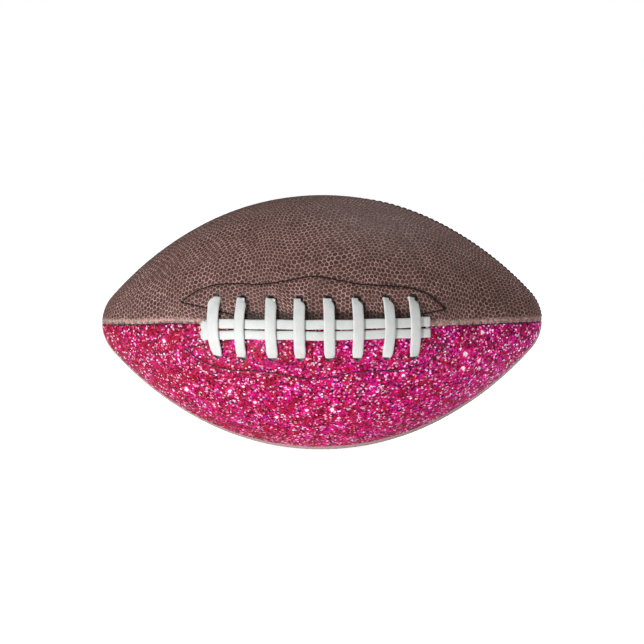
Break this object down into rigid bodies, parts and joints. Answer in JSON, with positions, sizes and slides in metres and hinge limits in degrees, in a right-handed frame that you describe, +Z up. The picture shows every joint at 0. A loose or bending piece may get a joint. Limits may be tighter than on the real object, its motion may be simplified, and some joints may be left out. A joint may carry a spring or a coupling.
{
  "type": "american football",
  "caption": "Laced American football: a pointed oval ball of sewn panels over an inflated bladder, with a raised lace for grip and a needle valve for inflation.",
  "frame": {"origin": "middle of the ball, on its long axis", "axes": "+X along the long axis towards the lace's cut ends, -Y towards the lacing, +Z up towards the plain brown front panel"},
  "size_m": [0.2352, 0.1388, 0.136],
  "materials": {
    "brown_leather": "pebbled, satin",
    "glitter_leather": "pebbled, glitter print under a clear coat",
    "backing_canvas": "woven, matte",
    "facing_vinyl": "smooth, matte",
    "black_thread": "twisted thread, waxed",
    "brown_thread": "twisted thread, waxed",
    "white_lace": "soft vinyl, satin",
    "tongue_pad": "felted, matte",
    "bladder_rubber": "smooth, matte",
    "valve_rubber": "smooth, matte"
  },
  "bodies": {
    "root": {"panel_front_upper": "brown_leather", "panel_front_lower": "glitter_leather", "panel_back_upper": "brown_leather", "panel_back_lower": "brown_leather", "lining_front_upper": "backing_canvas", "lining_front_lower": "backing_canvas", "lining_back_upper": "backing_canvas", "lining_back_lower": "backing_canvas", "facing_upper": "facing_vinyl", "facing_lower": "facing_vinyl", "facing_thread_upper": "black_thread", "facing_thread_lower": "black_thread", "long_lace": "white_lace", "cross_lace": "white_lace", "lace_tongue": "tongue_pad", "seam_thread_top": "brown_thread", "seam_thread_bottom": "brown_thread", "seam_thread_back": "brown_thread", "seam_thread_front_left": "brown_thread", "seam_thread_front_right": "brown_thread", "bladder": "bladder_rubber", "valve_body": "valve_rubber", "valve_plug": "valve_rubber", "valve_patch": "backing_canvas"}
  },
  "joints": []
}
